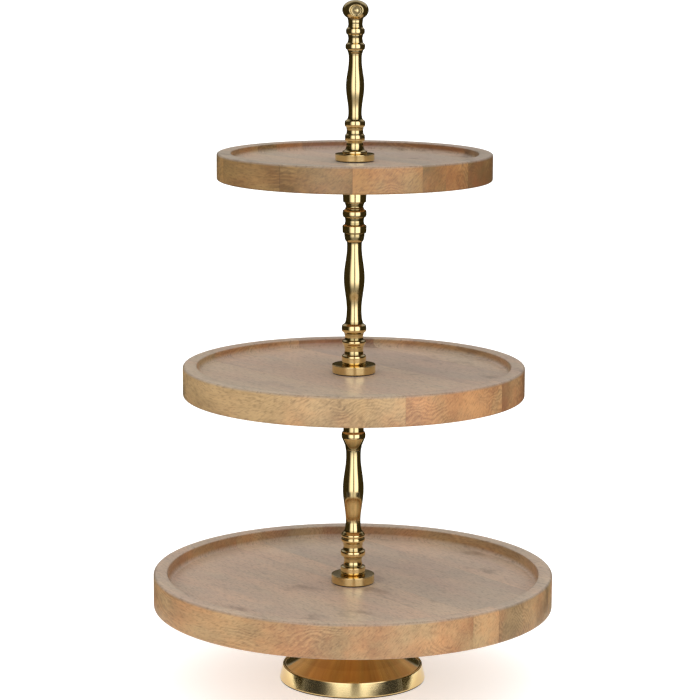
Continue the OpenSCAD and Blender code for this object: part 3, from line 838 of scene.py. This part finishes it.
class STAND_OT_finial(bpy.types.Operator):
    """Shapes the flattened ball with a round recess on its front and back"""

    bl_idname = "serving_stand.finial"
    bl_label = "Ball finial"

    def execute(self, context):
        shape, finish = context.scene.stand_shape, context.scene.stand_finish
        brass = once("Polished_brass", polished_brass, finish)
        z0, z1 = low("finial").z, high("finial").z
        wide, half = radius("finial"), (z1 - z0 + shape.ball_cut) / 2
        centre = z1 - half
        recess, deep = shape.recess_width / 2, shape.recess_depth
        bed = -wide + deep
        sides, rows = shape.sides, 22
        mesh = bmesh.new()
        loops = []
        for k in range(sides):
            a = 2 * math.pi * k / sides
            edge = 1 / math.sqrt((math.cos(a) / wide) ** 2 + (math.sin(a) / half) ** 2)
            mouth = recess
            for _ in range(40):  # where the recess's sloping wall meets the ball
                sunk = wide * (1 - math.sqrt(1 - (mouth / edge) ** 2))
                mouth = 0.5 * mouth + 0.5 * (recess + max(deep - sunk, 0.05 * MM))
            start = math.asin(mouth / edge)
            angles = [start + (math.pi / 2 - start) * j / rows for j in range(rows + 1)]
            ball = [(edge * math.sin(t), -wide * math.cos(t)) for t in angles]
            lip = ball[0]
            # The bed with a shallow boss in its middle, then the sloping wall and its worn lip
            line = [(share * recess, bed - raised * MM) for share, raised in BED]
            for share in (0.25, 0.75):
                line.append((recess + (lip[0] - recess) * share, bed + (lip[1] - bed) * share))
            line.append(tuple((w + 2.7 * e + 0.3 * b) / 4 for w, e, b in zip(line[-1], lip, ball[1])))
            line += ball[1:]
            loops.append((a, line))
        count = len(loops[0][1])

        def spot(a, q, y):
            z = max(q * math.sin(a), z0 - centre)
            return Vector((q * math.cos(a), y, centre + z))

        def half_ball(rows, side):
            return [
                [mesh.verts.new(spot(a, line[j][0], side * line[j][1])) for a, line in loops]
                for j in range(rows)
            ]

        front, back = half_ball(count, 1), half_ball(count - 1, -1)
        back.append(front[-1])
        knob = wide - deep + 0.15 * MM
        for grid, y in ((front, -knob), (back, knob)):
            hub = mesh.verts.new((0, y, centre))
            for k in range(sides):
                n = (k + 1) % sides
                mesh.faces.new((hub, grid[0][k], grid[0][n]))
                for j in range(count - 1):
                    mesh.faces.new((grid[j][k], grid[j + 1][k], grid[j + 1][n], grid[j][n]))
        turn = Matrix.Rotation(shape.ball_turn, 3, "Z")
        bmesh.ops.rotate(mesh, verts=mesh.verts, cent=(0, 0, 0), matrix=turn)
        piece = finished("Ball_finial", mesh)
        settle(piece, "finial", brass)
        return {"FINISHED"}


class STAND_OT_stage(bpy.types.Operator):
    """Sets up the pale floor, the soft studio light and the camera"""

    bl_idname = "serving_stand.stage"
    bl_label = "Stage"

    def execute(self, context):
        scene, s = context.scene, context.scene.stand_stage
        data = bpy.data.cameras.new("Camera")
        data.sensor_width, data.lens = 36.0, s.lens
        data.clip_start, data.clip_end = 0.05, 200.0
        camera = bpy.data.objects.new("Camera", data)
        scene.collection.objects.link(camera)
        look_down = Matrix.Rotation(math.pi / 2 - s.tilt, 4, "X")
        lean = Matrix.Rotation(s.roll, 4, "Z")
        camera.matrix_world = Matrix.Translation(s.eye) @ look_down @ lean
        scene.camera = camera

        card = studio_card("Studio_card", s)
        for name, inner, outer in (("Table_card", 0.0, TABLE_R), ("Floor_card", TABLE_R, 40.0)):
            mesh = bmesh.new()
            bmesh.ops.create_circle(mesh, cap_ends=not inner, radius=outer, segments=96)
            if inner:
                bmesh.ops.create_circle(mesh, cap_ends=False, radius=inner, segments=96)
                bmesh.ops.bridge_loops(mesh, edges=mesh.edges)
            floor = finished(name, mesh)
            floor.data.materials.append(card)
            floor.visible_glossy = not inner

        # A strip of card round the foot's front, as bright as it looks in the foot's band
        mesh = bmesh.new()
        glow = mesh.verts.layers.float.new("glow")
        rings = []
        for height in (0.0, STRIP_H):
            ring = []
            for side, angle, strength in [(-1, *p) for p in STRIP[:0:-1]] + [(1, *p) for p in STRIP]:
                a = math.radians(side * angle)
                ring.append(mesh.verts.new((STRIP_R * math.sin(a), -STRIP_R * math.cos(a), height)))
                ring[-1][glow] = strength
            rings.append(ring)
        for k in range(len(rings[0]) - 1):
            mesh.faces.new((rings[0][k], rings[0][k + 1], rings[1][k + 1], rings[1][k]))
        strip = finished("Strip_card", mesh)
        strip.data.materials.append(glowing_card("Glowing_card"))
        for ray in ("camera", "diffuse", "transmission", "volume_scatter", "shadow"):
            setattr(strip, "visible_" + ray, False)

        scene.view_settings.view_transform = "Standard"
        world = bpy.data.worlds.new("Studio")
        world.use_nodes = True
        scene.world = world
        tree = world.node_tree
        tree.nodes.clear()

        way = add(tree, "ShaderNodeTexCoord").outputs["Generated"]
        axes = add(tree, "ShaderNodeSeparateXYZ", {"Vector": way})
        # Angle round from the front, to the right, and height above the horizon, both in degrees
        front = add(tree, "ShaderNodeMath", {0: axes.outputs["Y"], 1: -1.0}, operation="MULTIPLY")
        turn = add(tree, "ShaderNodeMath", {0: axes.outputs["X"], 1: front}, operation="ARCTAN2")
        turn = add(tree, "ShaderNodeMath", {0: turn}, operation="DEGREES")
        away = add(tree, "ShaderNodeMath", {0: turn}, operation="ABSOLUTE")
        lift = add(tree, "ShaderNodeMath", {0: axes.outputs["Z"]}, operation="ARCSINE")
        lift = add(tree, "ShaderNodeMath", {0: lift}, operation="DEGREES")
        # What a reflection shows: two softboxes with a gap at the camera, a card in the gap and paper
        # behind. Each has the angles where it starts, is full, is full still and ends, round and up.
        lights = (
            (turn, (-56, -24, -5, 1), (-24, -10, 45, 62), s.softbox),
            (turn, (9, 16, 48, 60), (-24, -10, 45, 62), 1.15 * s.softbox),
            (turn, (-56, -24, 30, 60), (-90, -60, -24, -10), 0.15 * s.softbox),
            (turn, (-5, 1, 9, 16), (-24, -10, 45, 62), 0.10 * s.softbox),
            (away, (110, 145, 181, 182), (13, 21, 48, 62), s.backdrop),
        )
        shine = None
        for angle, round_it, above, strength in lights:
            share = strength
            for value, (start, full, still, end) in ((angle, round_it), (lift, above)):
                for edge, inside in ((start, full), (end, still)):
                    rise = add(
                        tree, "ShaderNodeMapRange", {"Value": value, "From Min": edge, "From Max": inside},
                        interpolation_type="SMOOTHSTEP",
                    )  # fmt: skip
                    share = add(tree, "ShaderNodeMath", {0: share, 1: rise}, operation="MULTIPLY")
            shine = add(tree, "ShaderNodeMath", {0: shine or 0.0, 1: share}, operation="ADD")
        cool = add(tree, "ShaderNodeVectorMath", {0: (1.0, 1.01, 1.12), "Scale": shine}, operation="SCALE")
        mirrored = add(tree, "ShaderNodeVectorMath", {0: cool, 1: (0.036, 0.029, 0.012)}, operation="ADD")
        # What lights matt surfaces: an even glow, a little stronger from the front
        near = add(
            tree, "ShaderNodeMapRange",
            {"Value": away, "From Min": 110.0, "From Max": 50.0, "To Max": 0.3},
        )  # fmt: skip
        light = add(tree, "ShaderNodeMath", {0: near, 1: s.fill}, operation="ADD")
        path = add(tree, "ShaderNodeLightPath")
        glossy, camera_ray = path.outputs["Is Glossy Ray"], path.outputs["Is Camera Ray"]
        soft = add(tree, "ShaderNodeMix", {0: glossy, 6: light, 7: mirrored}, data_type="RGBA")
        seen = add(tree, "ShaderNodeMix", {0: camera_ray, 6: soft, 7: (1, 1, 1, 1)}, data_type="RGBA")
        back = add(tree, "ShaderNodeBackground", {"Color": seen, "Strength": 1.0})
        add(tree, "ShaderNodeOutputWorld", {"Surface": back})
        return {"FINISHED"}


def arc(centre, r, start, end, steps=8):
    """Points on part of a circle, between two angles in degrees."""
    return [
        (centre[0] + r * math.cos(math.radians(start + (end - start) * k / steps)),
         centre[1] + r * math.sin(math.radians(start + (end - start) * k / steps)))
        for k in range(steps + 1)
    ]  # fmt: skip


def held(points):
    """
    Drops doubled points and adds one close to each end of a long straight run, so that the
    shading stays flat along it.
    """
    clean = [p for i, p in enumerate(points) if (Vector(p) - Vector(points[i - 1])).length > TINY]
    result = []
    for i, here in enumerate(clean):
        after = clean[(i + 1) % len(clean)]
        step = Vector(after) - Vector(here)
        result.append(here)
        if step.length > 2.5 * MM:
            for share in (0.4 * MM / step.length, 1 - 0.4 * MM / step.length):
                result.append(tuple(Vector(here) + step * share))
    return result


def threaded(name, r, z0, z1, pitch, sides=32, cuts=8):
    """A stud with a right-hand thread and a chamfer at each end."""
    deep, tip = 0.6 * pitch, 0.8 * MM
    mesh = bmesh.new()
    rows = max(8, round((z1 - z0) / pitch * cuts))
    rings = []
    for i in range(rows + 1):
        z = z0 + (z1 - z0) * i / rows
        limit = r - max(0.0, tip - min(z - z0, z1 - z))
        ring = []
        for k in range(sides):
            phase = (z / pitch - k / sides) % 1.0
            crest = min(max((1 - abs(2 * phase - 1) - 0.12) / 0.72, 0.0), 1.0)
            q = min(r - deep * (1 - crest), limit)
            a = 2 * math.pi * k / sides
            ring.append(mesh.verts.new((q * math.cos(a), q * math.sin(a), z)))
        rings.append(ring)
    for a, b in zip(rings, rings[1:]):
        for k in range(sides):
            n = (k + 1) % sides
            mesh.faces.new((a[k], a[n], b[n], b[k]))
    mesh.faces.new(rings[0][::-1])
    mesh.faces.new(rings[-1])
    return finished(name, mesh)


def hexagon(name, flats, bore, z0, z1, sides=72):
    """A hexagon nut whose corners are chamfered at 30 degrees on both faces."""
    mesh = bmesh.new()
    face_r = 0.475 * flats
    slope = math.tan(math.radians(30))

    def ring(points):
        return [mesh.verts.new(p) for p in points]

    around = [2 * math.pi * k / sides for k in range(sides)]
    across = [flats / 2 / math.cos((a + math.pi / 6) % (math.pi / 3) - math.pi / 6) for a in around]
    drop = [max(0.0, q - face_r) * slope for q in across]
    rings = [
        ring((bore * math.cos(a), bore * math.sin(a), z0) for a in around),
        ring((face_r * math.cos(a), face_r * math.sin(a), z0) for a in around),
        ring((q * math.cos(a), q * math.sin(a), z0 + d) for a, q, d in zip(around, across, drop)),
        ring((q * math.cos(a), q * math.sin(a), z1 - d) for a, q, d in zip(around, across, drop)),
        ring((face_r * math.cos(a), face_r * math.sin(a), z1) for a in around),
        ring((bore * math.cos(a), bore * math.sin(a), z1) for a in around),
    ]
    for a, b in zip(rings, rings[1:] + rings[:1]):
        for k in range(sides):
            n = (k + 1) % sides
            mesh.faces.new((a[k], a[n], b[n], b[k]))
    piece = finished(name, mesh)
    piece.data.set_sharp_from_angle(angle=math.radians(20))
    return piece


class STAND_PT_panel(bpy.types.Panel):
    """Lists what the stand is made of"""

    bl_label = "Serving stand"
    bl_idname = "STAND_PT_panel"
    bl_space_type = "VIEW_3D"
    bl_region_type = "UI"
    bl_category = "Serving stand"

    def draw(self, context):
        for operator in OPERATORS:
            self.layout.operator(operator.bl_idname)
        for name in ("stand_shape", "stand_finish", "stand_stage"):
            box = self.layout.box()
            group = getattr(context.scene, name)
            for key in group.__annotations__:
                box.prop(group, key)


GROUPS = {"stand_shape": StandShape, "stand_finish": StandFinish, "stand_stage": StandStage}
OPERATORS = (
    STAND_OT_stage, STAND_OT_trays, STAND_OT_stems, STAND_OT_discs,
    STAND_OT_foot, STAND_OT_screws, STAND_OT_finial,
)  # fmt: skip


def register():
    for kind in (*GROUPS.values(), *OPERATORS, STAND_PT_panel):
        bpy.utils.register_class(kind)
    for name, kind in GROUPS.items():
        setattr(bpy.types.Scene, name, bpy.props.PointerProperty(type=kind))


def unregister():
    for name in GROUPS:
        delattr(bpy.types.Scene, name)
    for kind in (STAND_PT_panel, *OPERATORS, *GROUPS.values()):
        bpy.utils.unregister_class(kind)


def main():
    register()
    for operator in OPERATORS:
        group, name = operator.bl_idname.split(".")
        getattr(getattr(bpy.ops, group), name)()


if __name__ == "__main__":
    main()
